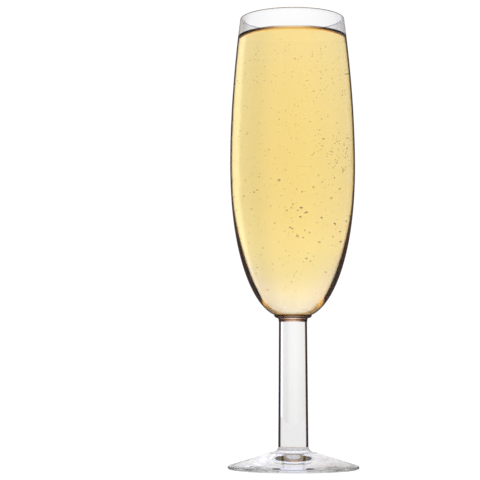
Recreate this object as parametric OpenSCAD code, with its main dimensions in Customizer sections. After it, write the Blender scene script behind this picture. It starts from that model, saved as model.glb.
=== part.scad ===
// Tall one-bottle champagne flute in clear glass. It is hot-fused from five pieces of glass:
// a blown bowl, a solid drawn stem, a pressed foot, and a solid collar at each end of the stem.
// Millimetres, +Z up, origin on the axis of the flute at the level of the table.

/* [Overall] */
// Height from the table to the rim
total_h = 320; // [305:1:335]

/* [Bowl] */
// Height of the bowl, from its flat base to the rim
bowl_h = 212.4; // [202:0.2:218]
// Outer diameter across the rim
rim_d = 74.8; // [70:0.2:80]
// Outer diameter at the widest level
belly_d = 89; // [84:0.2:94]
// Height of the widest level above the base of the bowl
belly_rise = 107; // [95:1:115]
// Outer diameter of the flat base that the collar is fused to
bowl_base_d = 26.8; // [25:0.2:29]
// Thickness of glass under the lowest point of the inside
floor_t = 1.8; // [1.5:0.1:3]
// Wall thickness at the widest level
belly_wall = 2.3; // [1.8:0.1:3]
// Wall thickness at the rounded rim
rim_wall = 1.9; // [1.4:0.1:2.4]

/* [Stem] */
// Diameter of the stem at its upper end
stem_top_d = 19.9; // [18:0.1:20.8]
// Diameter of the stem at its lower end
stem_low_d = 21.2; // [20:0.1:24]

/* [Collars] */
// Height of the collar between the bowl and the stem
bowl_collar_h = 5; // [3.6:0.1:6]
// Height of that collar's flange, which curves in from the base of the bowl to the collar's neck
bowl_collar_flange_h = 2.4; // [2:0.1:3.2]
// Diameter of that collar's neck, just below the flange
bowl_collar_neck_d = 20.9; // [20.8:0.1:23]
// Height of the collar between the stem and the foot
foot_collar_h = 4.4; // [4:0.1:7]
// Outer diameter of that collar's flared lower end
foot_collar_d = 33; // [28:0.2:38]
// Thickness of the lip at the flare
flare_lip = 0.3; // [0.2:0.1:0.6]

/* [Foot] */
// Outer diameter of the foot
foot_d = 92.2; // [88:0.2:100]
// Height of the foot at its seat for the collar
foot_h = 11; // [10:0.1:14]
// Thickness of the rounded edge
edge_t = 2.2; // [1.6:0.1:2.6]
// Depth of the hollow under the foot
hollow_h = 3; // [2:0.1:6]
// Width of the flat ring that stands on the table
rest_ring_w = 3.2; // [2:0.1:5]

/* [Hidden] */
$fn = 144;

// Steps along each long curve of the bowl, and along each short curve
long_steps = 16;
short_steps = 8;

rim_r = rim_d / 2;
belly_r = belly_d / 2;
bowl_base_r = bowl_base_d / 2;
foot_collar_r = foot_collar_d / 2;

// Levels above the table
bowl_base_z = total_h - bowl_h;
belly_z = bowl_base_z + belly_rise;
floor_z = bowl_base_z + floor_t;
stem_top_z = bowl_base_z - bowl_collar_h;
stem_low_z = foot_h + foot_collar_h;

// The outside leaves the base of the bowl at this angle, and stands upright at the widest level
base_angle = 24;
base_reach = 0.155 * belly_rise;
belly_reach = 0.6 * belly_rise;
// The inside is level on the axis, which leaves more glass low in the bowl than at the widest level
floor_reach = 0.72 * (belly_r - belly_wall);
inner_reach = 0.53 * belly_rise;
// Above the widest level both walls close in, and they reach the rim at this angle from upright
rim_angle = 7.2;
upper_h = bowl_h - belly_rise;
upper_reach = 0.33 * upper_h;

// The rim is rounded by a half circle across the wall
lip_r = rim_wall / 2;
lip_z = total_h - lip_r;

// The foot's edge is a half circle, and the flat ring runs inwards from below its centre
edge_r = edge_t / 2;
edge_centre = [foot_d / 2 - edge_r, edge_r];
ring_inner_r = edge_centre.x - rest_ring_w;

clear_glass = [0.86, 0.90, 0.92, 0.5];
tinted_glass = [0.62, 0.70, 0.74, 0.7];

// A point on a cubic Bezier curve, and the whole curve in a number of steps
function on_cubic(p, t) =
    pow(1 - t, 3) * p[0] + 3 * pow(1 - t, 2) * t * p[1]
    + 3 * (1 - t) * pow(t, 2) * p[2] + pow(t, 3) * p[3];
function cubic(p, steps) = [for (i = [0:steps]) on_cubic(p, i / steps)];

// An arc of an ellipse with the half axes a and b, from one angle to another
function arc(centre, a, b, from, to, steps) =
    [for (i = [0:steps])
        let (angle = from + (to - from) * i / steps)
        centre + [a * cos(angle), b * sin(angle)]];

// The curve without its first point, for a run that carries on from the one before
function after_first(points) = [for (i = [1:len(points) - 1]) points[i]];

function reversed(points) = [for (i = [len(points) - 1:-1:0]) points[i]];

// Outside of the bowl, from its base to the rim
function bowl_outside() = concat(
    cubic([
        [bowl_base_r, bowl_base_z],
        [bowl_base_r, bowl_base_z] + base_reach * [cos(base_angle), sin(base_angle)],
        [belly_r, belly_z - belly_reach],
        [belly_r, belly_z]
    ], long_steps),
    after_first(cubic([
        [belly_r, belly_z],
        [belly_r, belly_z + upper_reach],
        [rim_r, lip_z] + upper_reach * [sin(rim_angle), -cos(rim_angle)],
        [rim_r, lip_z]
    ], long_steps))
);

// Inside of the bowl, from its lowest point to the rim
function bowl_inside() = concat(
    cubic([
        [0, floor_z],
        [floor_reach, floor_z],
        [belly_r - belly_wall, belly_z - inner_reach],
        [belly_r - belly_wall, belly_z]
    ], long_steps),
    after_first(cubic([
        [belly_r - belly_wall, belly_z],
        [belly_r - belly_wall, belly_z + upper_reach],
        [rim_r - rim_wall, lip_z] + upper_reach * [sin(rim_angle), -cos(rim_angle)],
        [rim_r - rim_wall, lip_z]
    ], long_steps))
);

module bowl() {
    lip = arc([rim_r - lip_r, lip_z], lip_r, lip_r, 0, 180, short_steps);
    color(clear_glass)
        rotate_extrude()
            polygon(concat(
                [[0, bowl_base_z]],
                bowl_outside(),
                after_first(lip),
                after_first(reversed(bowl_inside()))
            ));
}

// Solid collar: a rounded flange under the bowl, a neck, and a taper from there down to the stem
module bowl_collar() {
    neck_r = bowl_collar_neck_d / 2;
    flange_reach = bowl_base_r - neck_r;
    color(tinted_glass)
        rotate_extrude()
            polygon(concat(
                [[0, bowl_base_z], [0, stem_top_z], [stem_top_d / 2, stem_top_z]],
                arc([neck_r, bowl_base_z], flange_reach, bowl_collar_flange_h, 270, 360, short_steps)
            ));
}

// Solid round stem, a little wider at its lower end
module stem() {
    color(clear_glass)
        translate([0, 0, stem_low_z])
            cylinder(h = stem_top_z - stem_low_z, d1 = stem_low_d, d2 = stem_top_d);
}

// Solid collar that flares from the stem out on to the foot
module foot_collar() {
    neck_r = stem_low_d / 2;
    flare_h = foot_collar_h - flare_lip;
    color(tinted_glass)
        rotate_extrude()
            polygon(concat(
                [[0, stem_low_z], [0, foot_h], [foot_collar_r, foot_h]],
                arc([foot_collar_r, stem_low_z], foot_collar_r - neck_r, flare_h, 270, 180, short_steps)
            ));
}

// Shallow cone with a rounded edge, hollow below, that stands on a narrow flat ring
module foot() {
    edge = arc(edge_centre, edge_r, edge_r, 90, -90, short_steps);
    hollow = [for (i = [0:long_steps])
        let (share = 1 - i / long_steps)
        [ring_inner_r * share, hollow_h * (1 - pow(share, 2))]];
    color(clear_glass)
        rotate_extrude()
            polygon(concat([[0, foot_h], [foot_collar_r, foot_h]], edge, hollow));
}

bowl();
bowl_collar();
stem();
foot_collar();
foot();
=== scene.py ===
"""Looks of the tall champagne flute: clear glass, champagne, bubbles, and a plain white studio.

Metres, in the CAD frame: +Z up, origin on the axis of the flute at the level of the table.
"""

import math
import random

import bmesh
import bpy
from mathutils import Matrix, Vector


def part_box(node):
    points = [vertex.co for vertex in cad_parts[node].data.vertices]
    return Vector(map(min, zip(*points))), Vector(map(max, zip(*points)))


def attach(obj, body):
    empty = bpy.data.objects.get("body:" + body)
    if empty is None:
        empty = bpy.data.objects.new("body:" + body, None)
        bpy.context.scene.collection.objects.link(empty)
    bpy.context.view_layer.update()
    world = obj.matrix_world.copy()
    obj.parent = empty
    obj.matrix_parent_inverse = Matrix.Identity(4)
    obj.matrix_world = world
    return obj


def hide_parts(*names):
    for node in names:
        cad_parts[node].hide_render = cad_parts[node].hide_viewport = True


MM = 0.001

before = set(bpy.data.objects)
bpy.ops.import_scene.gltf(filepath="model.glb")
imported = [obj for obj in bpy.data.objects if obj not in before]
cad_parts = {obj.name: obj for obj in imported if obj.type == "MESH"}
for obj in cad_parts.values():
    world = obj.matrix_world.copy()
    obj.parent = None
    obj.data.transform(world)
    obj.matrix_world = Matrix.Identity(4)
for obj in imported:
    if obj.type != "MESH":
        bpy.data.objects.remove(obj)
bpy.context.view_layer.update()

# ---------------------------------------------------------------- sizes

bowl_low, bowl_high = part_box("bowl")
collar_low, collar_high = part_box("bowl_collar")
stem_low, stem_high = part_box("stem")
flare_low, flare_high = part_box("foot_collar")
foot_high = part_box("foot")[1]

# Sizes that the boxes don't give, as the CAD model has them
RIM_R = 37.4 * MM
RIM_WALL = 1.9 * MM
BELLY_RISE = 107 * MM
BELLY_WALL = 2.3 * MM
FLOOR_T = 1.8 * MM
STEM_TOP_R = 9.95 * MM
COLLAR_NECK_R = 10.45 * MM
COLLAR_FLANGE_H = 2.4 * MM
FLARE_LIP = 0.3 * MM
EDGE_T = 2.2 * MM
HOLLOW_H = 3 * MM
REST_RING_W = 3.2 * MM

# Levels and radii from the boxes
TOTAL_H = bowl_high.z
BOWL_BASE_Z = bowl_low.z
BELLY_Z = BOWL_BASE_Z + BELLY_RISE
BELLY_R = bowl_high.x
BOWL_BASE_R = collar_high.x
STEM_LOW_R = stem_high.x
FLARE_R = flare_high.x
FOOT_R = foot_high.x
FOOT_H = foot_high.z
LIP_R = RIM_WALL / 2
LIP_Z = TOTAL_H - LIP_R

# The bowl's curves: the angle in degrees at which the outside leaves the base, the angle from upright at
# which both sides reach the rim, and how far each curve holds its direction at its ends
BASE_ANGLE = 24
RIM_ANGLE = 7.2
BASE_REACH = 0.155 * BELLY_RISE
BELLY_REACH = 0.6 * BELLY_RISE
FLOOR_REACH = 0.72 * (BELLY_R - BELLY_WALL)
INNER_REACH = 0.53 * BELLY_RISE
UPPER_REACH = 0.33 * (TOTAL_H - BELLY_Z)

# Level of the champagne, how far it climbs the glass, and how far from the wall that reaches
LIQUID_Z = 304 * MM
MENISCUS_H = 2.6 * MM
MENISCUS_REACH = 2.2 * MM
# The liquid goes this far into the glass, so that light passes from one to the other with no air between
SOAK = 0.1 * MM
# Where two pieces of glass are fused, the end of one goes this far into the other
WELD = 0.05 * MM

# Steps round each piece, along a wall of the bowl, along the liquid's wall and surface, along a cone or a
# short arc, and along the hollow
AROUND = 192
WALL_STEPS = 64
LIQUID_STEPS = 96
SURFACE_STEPS = 32
SHORT_STEPS = 16
HOLLOW_STEPS = 32
# Edges bent by more than this many degrees stay sharp
SHARP_OVER = 30
# Bubbles smaller than this are made of fewer faces
FINE_BUBBLE_R = 0.45 * MM
# Bubbles stay this far from the glass and from each other
WALL_GAP = 0.4 * MM
BUBBLE_GAP = 0.1 * MM


# ---------------------------------------------------------------- curves

def cubic(p0, p1, p2, p3, steps):
    """Points on a cubic Bezier curve from p0 to p3, as (radius, height) pairs."""
    points = []
    for i in range(steps + 1):
        t = i / steps
        s = 1 - t
        points.append(tuple(
            s ** 3 * a + 3 * s * s * t * b + 3 * s * t * t * c + t ** 3 * d
            for a, b, c, d in zip(p0, p1, p2, p3)
        ))
    return points


def arc(centre, a, b, start, end):
    """Points on an ellipse with the half axes a and b, between two angles in degrees."""
    points = []
    for i in range(SHORT_STEPS + 1):
        angle = math.radians(start + (end - start) * i / SHORT_STEPS)
        points.append((centre[0] + a * math.cos(angle), centre[1] + b * math.sin(angle)))
    return points


def polar(origin, length, degrees):
    """The point at a distance from the origin, in a direction that is 0 outwards and 90 upwards."""
    angle = math.radians(degrees)
    return (origin[0] + length * math.cos(angle), origin[1] + length * math.sin(angle))


def wall_above_belly(belly_r, rim_r, steps):
    return cubic(
        (belly_r, BELLY_Z), (belly_r, BELLY_Z + UPPER_REACH),
        polar((rim_r, LIP_Z), UPPER_REACH, RIM_ANGLE - 90), (rim_r, LIP_Z), steps)


def bowl_outside(steps):
    base = (BOWL_BASE_R, BOWL_BASE_Z)
    below = cubic(
        base, polar(base, BASE_REACH, BASE_ANGLE),
        (BELLY_R, BELLY_Z - BELLY_REACH), (BELLY_R, BELLY_Z), steps)
    return below + wall_above_belly(BELLY_R, RIM_R, steps)[1:]


def bowl_inside(steps):
    inner_r = BELLY_R - BELLY_WALL
    floor_z = BOWL_BASE_Z + FLOOR_T
    below = cubic(
        (0, floor_z), (FLOOR_REACH, floor_z),
        (inner_r, BELLY_Z - INNER_REACH), (inner_r, BELLY_Z), steps)
    return below + wall_above_belly(inner_r, RIM_R - RIM_WALL, steps)[1:]


# ---------------------------------------------------------------- meshes

def lathe(name, outline, welds=()):
    """A closed solid of revolution from an outline that starts and ends on the axis.

    Flat faces at the levels in welds are where it is fused to a neighbour: they take material 1.
    """
    mesh = bmesh.new()
    rings = []
    for radius, level in outline:
        if radius < 1e-7:
            rings.append([mesh.verts.new((0, 0, level))])
            continue
        rings.append([
            mesh.verts.new((
                radius * math.cos(2 * math.pi * i / AROUND),
                radius * math.sin(2 * math.pi * i / AROUND), level))
            for i in range(AROUND)
        ])
    for a, b in zip(rings, rings[1:]):
        for i in range(AROUND):
            j = (i + 1) % AROUND
            if len(a) == 1:
                mesh.faces.new((a[0], b[j], b[i]))
            elif len(b) == 1:
                mesh.faces.new((a[i], a[j], b[0]))
            else:
                mesh.faces.new((a[i], a[j], b[j], b[i]))
    bmesh.ops.recalc_face_normals(mesh, faces=mesh.faces)
    for face in mesh.faces:
        face.smooth = True
        for weld in welds:
            if all(abs(vert.co.z - weld) < 1e-6 for vert in face.verts):
                face.material_index = 1
    for edge in mesh.edges:
        if edge.calc_face_angle(0) > math.radians(SHARP_OVER):
            edge.smooth = False
    data = bpy.data.meshes.new(name)
    mesh.to_mesh(data)
    mesh.free()
    piece = bpy.data.objects.new(name, data)
    bpy.context.scene.collection.objects.link(piece)
    return piece


def make_bowl():
    lip = arc((RIM_R - LIP_R, LIP_Z), LIP_R, LIP_R, 0, 180)
    inside = bowl_inside(WALL_STEPS)[::-1]
    outline = [(0, BOWL_BASE_Z)] + bowl_outside(WALL_STEPS) + lip[1:] + inside[1:]
    return lathe("flute_bowl", outline, [BOWL_BASE_Z])


def make_bowl_collar():
    """The collar under the bowl: a rounded flange over a neck that tapers to the stem."""
    flange = arc(
        (COLLAR_NECK_R, BOWL_BASE_Z), BOWL_BASE_R - COLLAR_NECK_R, COLLAR_FLANGE_H, 270, 360)
    top_z = BOWL_BASE_Z + WELD
    outline = (
        [(0, collar_low.z), (STEM_TOP_R, collar_low.z)] + flange
        + [(BOWL_BASE_R - WELD, top_z), (0, top_z)])
    return lathe("flute_bowl_collar", outline, [collar_low.z, top_z])


def make_stem():
    low_z = stem_low.z - WELD
    top_z = stem_high.z + WELD
    outline = [
        (0, low_z), (STEM_LOW_R - WELD, low_z), (STEM_LOW_R, stem_low.z),
        (STEM_TOP_R, stem_high.z), (STEM_TOP_R - WELD, top_z), (0, top_z)]
    return lathe("flute_stem", outline, [low_z, top_z])


def make_foot_collar():
    """The collar that flares from the stem out on to the foot."""
    centre = (FLARE_R, flare_high.z)
    flare = arc(centre, FLARE_R - STEM_LOW_R, flare_high.z - FOOT_H - FLARE_LIP, 270, 180)
    low_z = FOOT_H - WELD
    outline = (
        [(0, low_z), (FLARE_R - WELD, low_z), (FLARE_R, FOOT_H)] + flare + [(0, flare_high.z)])
    return lathe("flute_foot_collar", outline, [low_z, flare_high.z])


def make_foot():
    """A shallow cone with a rounded edge, slightly hollow below, on a narrow flat ring."""
    edge_r = EDGE_T / 2
    edge_centre = (FOOT_R - edge_r, edge_r)
    edge = arc(edge_centre, edge_r, edge_r, 90, -90)
    ring_r = edge_centre[0] - REST_RING_W
    hollow = []
    for i in range(HOLLOW_STEPS + 1):
        share = 1 - i / HOLLOW_STEPS
        hollow.append((ring_r * share, HOLLOW_H * (1 - share ** 2)))
    reach = edge[0][0] - FLARE_R
    drop = edge[0][1] - FOOT_H
    cone = [
        (FLARE_R + reach * i / SHORT_STEPS, FOOT_H + drop * i / SHORT_STEPS) for i in range(SHORT_STEPS)]
    return lathe("flute_foot", [(0, FOOT_H)] + cone + edge + hollow, [FOOT_H])


def make_champagne():
    """The liquid, which climbs the wall of the bowl at its edge."""
    inside = bowl_inside(LIQUID_STEPS)
    top_z = LIQUID_Z + MENISCUS_H
    wall = []
    for (r0, z0), (r1, z1) in zip(inside, inside[1:]):
        length = math.hypot(r1 - r0, z1 - z0)
        out = ((z1 - z0) / length, -(r1 - r0) / length)
        if z0 < top_z:
            wall.append((r0 + SOAK * out[0], z0 + SOAK * out[1]))
    wall[0] = (0, wall[0][1])
    edge_r = wall[-1][0]
    # The surface falls away from the wall, and its points are closest together there
    surface = []
    for i in range(SURFACE_STEPS + 1):
        gap = 5 * MENISCUS_REACH * (i / SURFACE_STEPS) ** 2
        surface.append((edge_r - gap, LIQUID_Z + MENISCUS_H * math.exp(-gap / MENISCUS_REACH)))
    wall = [point for point in wall if point[1] < top_z - 0.2 * MM]
    return lathe("champagne", wall + surface + [(0, LIQUID_Z)])


# ---------------------------------------------------------------- bubbles

def inside_radius(z):
    """The radius of the inside of the bowl at a height."""
    points = bowl_inside(48)
    for (r0, z0), (r1, z1) in zip(points, points[1:]):
        if z0 <= z <= z1:
            return r0 + (r1 - r0) * (z - z0) / (z1 - z0)
    return 0


def bubble_spots():
    """Centres and radii of the bubbles, in metres."""
    rng = random.Random(11)
    spots = []

    def scatter(count, low_z, high_z, small, large, lean=1.0, near_wall=False, angles=(0, 360)):
        """Bubbles between two heights and two radii, in mm. A lean under 1 puts more of them higher up."""
        for _ in range(count):
            radius = (small + (large - small) * rng.random() ** 2) * MM
            z = (low_z + (high_z - low_z) * rng.random() ** lean) * MM
            room = inside_radius(z) - radius - WALL_GAP
            share = 1 - 0.04 * rng.random() if near_wall else math.sqrt(rng.random())
            angle = math.radians(angles[0] + (angles[1] - angles[0]) * rng.random())
            spots.append((
                Vector((room * share * math.cos(angle), room * share * math.sin(angle), z)), radius))

    # Fine bubbles all the way up, more of them higher up
    scatter(380, 118, 298, 0.26, 0.46, lean=0.7)
    # Larger ones, loose in the lower half
    scatter(26, 160, 210, 0.7, 1.15, angles=(-120, 30))
    scatter(16, 124, 200, 0.5, 0.95)
    # Some that cling to the wall, most of them in two patches on the +X side of the front
    scatter(36, 140, 296, 0.3, 0.55, near_wall=True)
    scatter(46, 208, 234, 0.35, 0.7, near_wall=True, angles=(-68, -25))
    scatter(30, 258, 294, 0.3, 0.5, near_wall=True, angles=(-75, -20))
    kept = []
    for centre, radius in spots:
        if all((centre - other).length > radius + size + BUBBLE_GAP for other, size in kept):
            kept.append((centre, radius))
    return kept


def unit_ball(subdivisions):
    """The points of a ball of radius 1, and its faces, which look inwards."""
    ball = bmesh.new()
    bmesh.ops.create_icosphere(ball, subdivisions=subdivisions, radius=1)
    points = [vert.co.copy() for vert in ball.verts]
    corners = [[vert.index for vert in face.verts][::-1] for face in ball.faces]
    ball.free()
    return points, corners


def add_bubbles(piece):
    """Cut the bubbles out of the liquid. The attribute cap grows from -1 below a bubble to 1 on its top."""
    fine = unit_ball(2)
    smooth = unit_ball(3)
    verts = []
    faces = []
    levels = []
    for centre, radius in bubble_spots():
        points, corners = fine if radius < FINE_BUBBLE_R else smooth
        first = len(verts)
        verts += [centre + radius * point for point in points]
        levels += [point.z for point in points]
        faces += [[first + corner for corner in face] for face in corners]
    bubbles = bpy.data.meshes.new("bubbles")
    bubbles.from_pydata(verts, [], faces)
    bubbles.attributes.new("cap", "FLOAT", "POINT").data.foreach_set("value", levels)
    # Material 0 is the liquid's and 1 the bubbles'
    bubbles.materials.append(None)
    bubbles.materials.append(None)
    bubbles.polygons.foreach_set("material_index", [1] * len(faces))
    bubbles.polygons.foreach_set("use_smooth", [True] * len(faces))
    mesh = bmesh.new()
    mesh.from_mesh(piece.data)
    mesh.verts.layers.float.new("cap")
    mesh.from_mesh(bubbles)
    mesh.to_mesh(piece.data)
    mesh.free()
    bpy.data.meshes.remove(bubbles)


# ---------------------------------------------------------------- nodes

def feed(tree, value, socket):
    """Link a node's output to a socket, or set the socket's own value."""
    if isinstance(value, bpy.types.NodeSocket):
        tree.links.new(value, socket)
    else:
        socket.default_value = value


def ramp(tree, value, stops):
    """The colour that a smooth ramp gives for a value, from (position, level or colour) stops."""
    node = tree.nodes.new("ShaderNodeValToRGB")
    node.color_ramp.interpolation = "EASE"
    elements = node.color_ramp.elements
    while len(elements) < len(stops):
        elements.new(0.5)
    for element, (position, colour) in zip(elements, stops):
        element.position = position
        element.color = (*colour, 1) if isinstance(colour, tuple) else (colour, colour, colour, 1)
    feed(tree, value, node.inputs["Fac"])
    return node.outputs["Color"]


def map_range(tree, value, from_low, from_high, to_low, to_high, smooth=False):
    node = tree.nodes.new("ShaderNodeMapRange")
    node.interpolation_type = "SMOOTHSTEP" if smooth else "LINEAR"
    node.inputs["From Min"].default_value = from_low
    node.inputs["From Max"].default_value = from_high
    node.inputs["To Min"].default_value = to_low
    node.inputs["To Max"].default_value = to_high
    feed(tree, value, node.inputs["Value"])
    return node.outputs["Result"]


def arithmetic(tree, operation, a, b):
    node = tree.nodes.new("ShaderNodeMath")
    node.operation = operation
    feed(tree, a, node.inputs[0])
    feed(tree, b, node.inputs[1])
    return node.outputs[0]


def mix(tree, factor, a, b, blend="MIX"):
    """Colour a where the factor is 0 and colour b where it is 1."""
    node = tree.nodes.new("ShaderNodeMix")
    node.data_type = "RGBA"
    node.blend_type = blend
    feed(tree, factor, node.inputs["Factor"])
    feed(tree, a, node.inputs["A"])
    feed(tree, b, node.inputs["B"])
    return node.outputs["Result"]


def multiply(tree, a, b):
    """One colour times another."""
    return mix(tree, 1, a, b, "MULTIPLY")


def place(tree):
    """The position of a point on the surface. Nothing moves, so it is also the position on the flute."""
    return tree.nodes.new("ShaderNodeNewGeometry").outputs["Position"]


def height(tree):
    """The height above the table."""
    split = tree.nodes.new("ShaderNodeSeparateXYZ")
    feed(tree, place(tree), split.inputs[0])
    return split.outputs["Z"]


def from_axis(tree):
    """The distance from the axis of the flute."""
    flatten = tree.nodes.new("ShaderNodeVectorMath")
    flatten.operation = "MULTIPLY"
    flatten.inputs[1].default_value = (1, 1, 0)
    feed(tree, place(tree), flatten.inputs[0])
    length = tree.nodes.new("ShaderNodeVectorMath")
    length.operation = "LENGTH"
    feed(tree, flatten.outputs[0], length.inputs[0])
    return length.outputs["Value"]


def facing(tree):
    """How far a surface is turned away: 0 face on, 1 edge on."""
    node = tree.nodes.new("ShaderNodeLayerWeight")
    node.inputs["Blend"].default_value = 0.5
    return node.outputs["Facing"]


# ---------------------------------------------------------------- materials

GLASS_IOR = 1.5
WINE_IOR = 1.34

WHITE = (1, 1, 1, 1)
# Painted shade: the darkest brown that the edges of the glass are painted where they look dark
PAINTED_SHADE_DARK = (0.0012, 0.0004, 0.0002)
# Painted shade: the grey-blue that the rim of the bowl is painted
PAINTED_RIM_SHADE = (0.30, 0.38, 0.52, 1)
WINE_TINT = (0.985, 0.808, 0.06, 1)
WINE_DENSITY = 18.5

# The middle of the painted dark line of shade at the edge of the champagne, half its full width, and half
# its whole width
LINE_Z = LIQUID_Z + 2.0 * MM
LINE_FULL = 0.6 * MM
LINE_WHOLE = 1.0 * MM

# In a ringed surface, how much the waves change along the rings for each change across them
ALONG_RINGS = 0.12
# Patches in which the finish varies, to a metre
FINISH_SCALE = 90


def glass(name, ior):
    material = bpy.data.materials.new(name)
    material.use_nodes = True
    shader = material.node_tree.nodes["Principled BSDF"]
    shader.inputs["Base Color"].default_value = WHITE
    shader.inputs["Transmission Weight"].default_value = 1
    shader.inputs["IOR"].default_value = ior
    shader.inputs["Roughness"].default_value = 0
    return material


def paint_shade_on_entry(material, colour):
    """Paint shade on the glass as a colour on the light that enters it. What leaves it is left as it is."""
    tree = material.node_tree
    leaving = tree.nodes.new("ShaderNodeNewGeometry").outputs["Backfacing"]
    feed(tree, mix(tree, leaving, colour, WHITE), tree.nodes["Principled BSDF"].inputs["Base Color"])


def handmade(material, wave, slope, dullest, rings=False):
    """Slight waves in the surface, wave metres long, and a finish between polished and dullest."""
    tree = material.node_tree
    shader = tree.nodes["Principled BSDF"]
    where = place(tree)
    if rings:
        # Waves that run round the axis: the distance from it counts most
        squeeze = tree.nodes.new("ShaderNodeVectorMath")
        squeeze.operation = "SCALE"
        squeeze.inputs["Scale"].default_value = ALONG_RINGS
        feed(tree, where, squeeze.inputs[0])
        join = tree.nodes.new("ShaderNodeVectorMath")
        feed(tree, from_axis(tree), join.inputs[0])
        feed(tree, squeeze.outputs[0], join.inputs[1])
        where = join.outputs[0]
    waves = tree.nodes.new("ShaderNodeTexNoise")
    waves.inputs["Scale"].default_value = 1 / wave
    waves.inputs["Detail"].default_value = 1
    feed(tree, where, waves.inputs["Vector"])
    bump = tree.nodes.new("ShaderNodeBump")
    bump.inputs["Strength"].default_value = 1
    bump.inputs["Distance"].default_value = slope * wave
    feed(tree, waves.outputs["Fac"], bump.inputs["Height"])
    feed(tree, bump.outputs["Normal"], shader.inputs["Normal"])
    finish = tree.nodes.new("ShaderNodeTexNoise")
    finish.inputs["Scale"].default_value = FINISH_SCALE
    feed(tree, place(tree), finish.inputs["Vector"])
    roughness = map_range(tree, finish.outputs["Fac"], 0.3, 0.7, 0.0, dullest)
    feed(tree, roughness, shader.inputs["Roughness"])


def painted_shade_below_liquid(tree, z):
    """Where there is champagne inside, the edges are painted dark as shade, broadest low down and less dark
    on the bowl's underside.
    """
    broader_lower_down = map_range(tree, z, 125 * MM, 200 * MM, 0.22, 0.0, smooth=True)
    underside = map_range(tree, z, 110 * MM, 121 * MM, -0.3, 0.0, smooth=True)
    turned = arithmetic(tree, "ADD", facing(tree), arithmetic(tree, "ADD", broader_lower_down, underside))
    return ramp(tree, turned, [(0.0, 0.93), (0.69, 0.93), (0.80, PAINTED_SHADE_DARK), (1.0, PAINTED_SHADE_DARK)])


def painted_shade_above_liquid(tree, z):
    """Above the champagne the glass is painted a pale grey as shade, darker towards its edges, and its rim
    is painted grey.
    """
    pale = ramp(tree, facing(tree), [(0.0, 0.86), (0.4, 0.76), (0.6, 0.6), (0.8, 0.35), (1.0, 0.12)])
    on_rim = map_range(tree, z, LIP_Z - 0.2 * MM, LIP_Z + 0.2 * MM, 0, 1)
    return multiply(tree, pale, mix(tree, on_rim, WHITE, PAINTED_RIM_SHADE))


def painted_meniscus_shade(tree, z):
    """A painted dark line of shade at the edge of the champagne, strongest on the outside of the bowl. It
    fades face on.
    """
    dark = ramp(tree, facing(tree), [
        (0.0, 1.0), (0.05, 0.8), (0.14, (0.22, 0.16, 0.11)), (0.24, (0.03, 0.02, 0.012)),
        (1.0, PAINTED_SHADE_DARK)])
    from_below = map_range(tree, z, LINE_Z - LINE_WHOLE, LINE_Z - LINE_FULL, 0, 1)
    from_above = map_range(tree, z, LINE_Z + LINE_FULL, LINE_Z + LINE_WHOLE, 1, 0)
    outside = map_range(tree, from_axis(tree), RIM_R - LIP_R, RIM_R, 0, 1)
    weight = arithmetic(tree, "MULTIPLY", arithmetic(tree, "MULTIPLY", from_below, from_above), outside)
    return mix(tree, weight, WHITE, dark)


def make_bowl_glass():
    material = glass("bowl_glass", GLASS_IOR)
    tree = material.node_tree
    z = height(tree)
    dry = map_range(tree, z, LIQUID_Z, LIQUID_Z + MENISCUS_H, 0, 1)
    # Painted shade: grey and dark edges above and below the champagne, and a dark line at its surface
    painted_shade_colour = mix(tree, dry, painted_shade_below_liquid(tree, z), painted_shade_above_liquid(tree, z))
    paint_shade_on_entry(material, multiply(tree, painted_shade_colour, painted_meniscus_shade(tree, z)))
    handmade(material, 18 * MM, 0.02, 0.02)
    return material


def make_collar_glass():
    """The upper collar is painted brown as shade, and darker where it is turned away."""
    material = glass("collar_glass", GLASS_IOR)
    tree = material.node_tree
    paint_shade_on_entry(material, ramp(tree, facing(tree), [
        (0.0, (0.62, 0.36, 0.22)), (0.08, (0.34, 0.17, 0.1)), (0.22, (0.05, 0.022, 0.014)),
        (0.6, PAINTED_SHADE_DARK), (1.0, PAINTED_SHADE_DARK)]))
    handmade(material, 5 * MM, 0.02, 0.01)
    return material


def make_stem_glass():
    """The stem is clear between thin dark edges of painted shade, and is painted a little darker lower
    down.
    """
    material = glass("stem_glass", GLASS_IOR)
    tree = material.node_tree
    edge = ramp(tree, facing(tree), [(0.0, 1.0), (0.42, 1.0), (0.50, PAINTED_SHADE_DARK), (1.0, PAINTED_SHADE_DARK)])
    up = map_range(tree, height(tree), 20 * MM, 95 * MM, 0, 1)
    paint_shade_on_entry(material, multiply(tree, edge, ramp(tree, up, [(0.0, 0.66), (1.0, 0.80)])))
    handmade(material, 14 * MM, 0.01, 0.01)
    return material


def make_flare_glass():
    """Painted shade: faint brown lines where the lower collar is welded on, a grey band between them, and
    darker edges.
    """
    material = glass("flare_glass", GLASS_IOR)
    tree = material.node_tree
    edge = ramp(tree, facing(tree), [(0.0, 1.0), (0.5, 0.9), (0.8, 0.5), (1.0, 0.12)])
    up = map_range(tree, height(tree), flare_low.z, flare_high.z, 0, 1)
    bands = ramp(tree, up, [
        (0.0, (0.7, 0.6, 0.54)), (0.06, (0.7, 0.6, 0.54)), (0.14, 0.92), (0.40, 0.88),
        (0.50, (0.5, 0.51, 0.54)), (0.80, (0.6, 0.61, 0.64)), (0.88, (0.5, 0.38, 0.32)),
        (1.0, (0.22, 0.14, 0.10))])
    paint_shade_on_entry(material, multiply(tree, edge, bands))
    handmade(material, 4 * MM, 0.01, 0.004)
    return material


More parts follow.
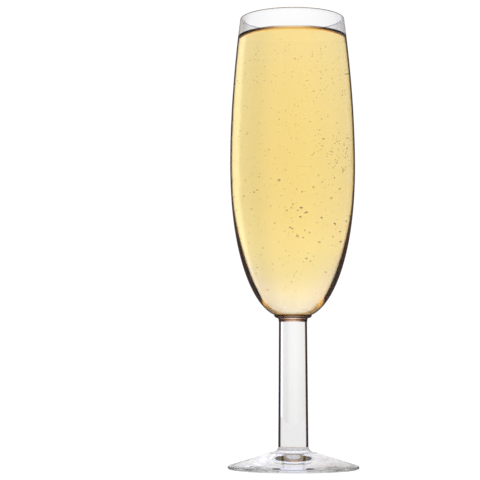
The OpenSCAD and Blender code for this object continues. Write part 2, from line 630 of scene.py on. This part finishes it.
def make_foot_glass():
    """The foot is painted with faint grey rings of shade, darkest towards its edge."""
    material = glass("foot_glass", GLASS_IOR)
    tree = material.node_tree
    edge = ramp(tree, facing(tree), [(0.0, 1.0), (0.9, 0.95), (0.97, 0.7), (1.0, 0.3)])
    out = map_range(tree, from_axis(tree), FLARE_R, FOOT_R, 0, 1)
    bands = ramp(tree, out, [
        (0.0, 0.78), (0.2, 0.86), (0.4, 0.7), (0.5, 0.8), (0.7, (0.6, 0.58, 0.58)),
        (0.92, (0.52, 0.49, 0.49)), (0.96, 0.74), (1.0, 0.5)])
    paint_shade_on_entry(material, multiply(tree, edge, bands))
    handmade(material, 12 * MM, 0.004, 0.001, rings=True)
    return material


def make_wine():
    """Clear liquid whose gold deepens with the distance that light goes through it."""
    material = glass("champagne_liquid", WINE_IOR)
    tree = material.node_tree
    volume = tree.nodes.new("ShaderNodeVolumeAbsorption")
    volume.inputs["Color"].default_value = WINE_TINT
    volume.inputs["Density"].default_value = WINE_DENSITY
    feed(tree, volume.outputs["Volume"], tree.nodes["Material Output"].inputs["Volume"])
    return material


def make_bubble_skin():
    """The wall of a bubble, with painted shade that darkens it over its top."""
    material = glass("bubble_skin", WINE_IOR)
    tree = material.node_tree
    cap = tree.nodes.new("ShaderNodeAttribute")
    cap.attribute_name = "cap"
    painted_shade_colour = ramp(tree, map_range(tree, cap.outputs["Fac"], -1, 1, 0, 1), [
        (0.0, 0.9), (0.55, 0.85), (0.72, (0.16, 0.15, 0.02)), (1.0, (0.04, 0.035, 0.004))])
    feed(tree, painted_shade_colour, tree.nodes["Principled BSDF"].inputs["Base Color"])
    return material


# ---------------------------------------------------------------- pieces

# Where two pieces are fused there is no surface left, so light goes straight on
fused = glass("fused_glass", 1.0)

made = [
    (make_bowl(), "bowl", "bowl_glass", make_bowl_glass()),
    (make_bowl_collar(), "bowl_collar", "bowl_glass", make_collar_glass()),
    (make_stem(), "stem", "stem_glass", make_stem_glass()),
    (make_foot_collar(), "foot_collar", "foot_glass", make_flare_glass()),
    (make_foot(), "foot", "foot_glass", make_foot_glass()),
]
for piece, node, slot, material in made:
    piece.data.materials.append(material)
    piece.data.materials.append(fused)
    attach(piece, "root")
    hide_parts(node)

champagne = make_champagne()
champagne.data.materials.append(make_wine())
champagne.data.materials.append(make_bubble_skin())
add_bubbles(champagne)
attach(champagne, "root")

# ---------------------------------------------------------------- studio

# The light that reaches the flute and is seen through it
LIGHT_LEVEL = 2.9
# What the glass mirrors is dimmer, as with black flags round a set, apart from a strip straight behind
MIRRORED = (0.16, 0.11, 0.09)
MIRRORED_BEHIND = 0.78
MIRRORED_FLOOR = 0.11
# What the camera sees directly
BACKDROP_LEVEL = 1.05
FLOOR_LEVEL = 1.02

FLOOR_SIZE = 1.2
CAMERA_PLACE = (-0.0374, -1.050, 0.0743)
# Degrees above level
CAMERA_TILT = 4.707
LENS = 111.4
SENSOR = 36

scene = bpy.context.scene
scene.view_settings.view_transform = "Standard"
scene.cycles.max_bounces = 32
scene.cycles.transmission_bounces = 32
scene.cycles.glossy_bounces = 16
scene.cycles.transparent_max_bounces = 16
scene.cycles.use_denoising = True


def light_path(tree, kind):
    return tree.nodes.new("ShaderNodeLightPath").outputs[kind]


def background(tree, colour, strength):
    node = tree.nodes.new("ShaderNodeBackground")
    feed(tree, colour, node.inputs["Color"])
    node.inputs["Strength"].default_value = strength
    return node.outputs[0]


def mix_shaders(tree, factor, first, second):
    """The first shader where the factor is 0 and the second where it is 1."""
    node = tree.nodes.new("ShaderNodeMixShader")
    feed(tree, factor, node.inputs["Fac"])
    feed(tree, first, node.inputs[1])
    feed(tree, second, node.inputs[2])
    return node.outputs[0]


def at(degrees):
    """Where a direction is on a ramp that runs once round: 0 is +Y, and the angle grows towards +X."""
    return 0.5 + degrees / 360


def make_world():
    """A white studio with one softbox: its light varies smoothly round the flute and upwards."""
    world = bpy.data.worlds.new("studio")
    scene.world = world
    world.use_nodes = True
    tree = world.node_tree
    tree.nodes.remove(tree.nodes["Background"])
    coordinates = tree.nodes.new("ShaderNodeTexCoord")
    split = tree.nodes.new("ShaderNodeSeparateXYZ")
    feed(tree, coordinates.outputs["Generated"], split.inputs[0])
    angle = arithmetic(tree, "ARCTAN2", split.outputs["X"], split.outputs["Y"])
    around = map_range(tree, angle, -math.pi, math.pi, 0, 1)
    light_around = ramp(tree, around, [
        (0.0, 0.48), (at(-70), 0.47), (at(-50), (0.46, 0.44, 0.42)), (at(-32), (0.47, 0.455, 0.44)),
        (at(-16), 0.48), (at(-4), 0.5), (at(8), 0.49), (at(22), 0.435), (at(33), 0.45),
        (at(43), (0.66, 0.66, 0.74)), (at(54), (0.66, 0.66, 0.74)), (at(64), 0.48), (1.0, 0.48)])
    light_up = ramp(tree, split.outputs["Z"], [
        (0.0, 0.753), (0.15, 0.735), (0.26, 0.77), (0.4, (0.81, 0.825, 1.0)),
        (0.6, (0.81, 0.825, 1.0)), (0.8, 0.45), (1.0, 0.4)])
    light = background(tree, multiply(tree, light_around, light_up), LIGHT_LEVEL)
    mirrored_around = ramp(tree, around, [
        (0.0, MIRRORED), (at(-13), MIRRORED), (at(-7), MIRRORED_BEHIND), (at(7), MIRRORED_BEHIND),
        (at(13), MIRRORED), (1.0, MIRRORED)])
    mirrored = background(tree, mirrored_around, 1)
    backdrop = background(tree, WHITE, BACKDROP_LEVEL)
    surroundings = mix_shaders(tree, light_path(tree, "Is Reflection Ray"), light, mirrored)
    seen = mix_shaders(tree, light_path(tree, "Is Camera Ray"), surroundings, backdrop)
    feed(tree, seen, tree.nodes["World Output"].inputs["Surface"])


def make_floor():
    """A plain floor, lit evenly, and dimmer where the glass mirrors it."""
    bpy.ops.mesh.primitive_plane_add(size=FLOOR_SIZE, location=(0, 0, 0))
    floor = bpy.context.object
    floor.name = "studio_floor"
    material = bpy.data.materials.new("floor")
    material.use_nodes = True
    tree = material.node_tree
    shader = tree.nodes["Principled BSDF"]
    shader.inputs["Base Color"].default_value = (0.1, 0.1, 0.1, 1)
    shader.inputs["Roughness"].default_value = 1
    shader.inputs["Specular IOR Level"].default_value = 0
    shader.inputs["Emission Color"].default_value = WHITE
    mirrored = light_path(tree, "Is Reflection Ray")
    level = map_range(tree, mirrored, 0, 1, FLOOR_LEVEL, MIRRORED_FLOOR)
    feed(tree, level, shader.inputs["Emission Strength"])
    floor.data.materials.append(material)


def make_camera():
    data = bpy.data.cameras.new("camera")
    data.lens = LENS
    data.sensor_width = SENSOR
    data.clip_start = 0.05
    camera = bpy.data.objects.new("camera", data)
    scene.collection.objects.link(camera)
    camera.location = CAMERA_PLACE
    camera.rotation_euler = (math.radians(90 + CAMERA_TILT), 0, 0)
    scene.camera = camera


make_world()
make_floor()
make_camera()
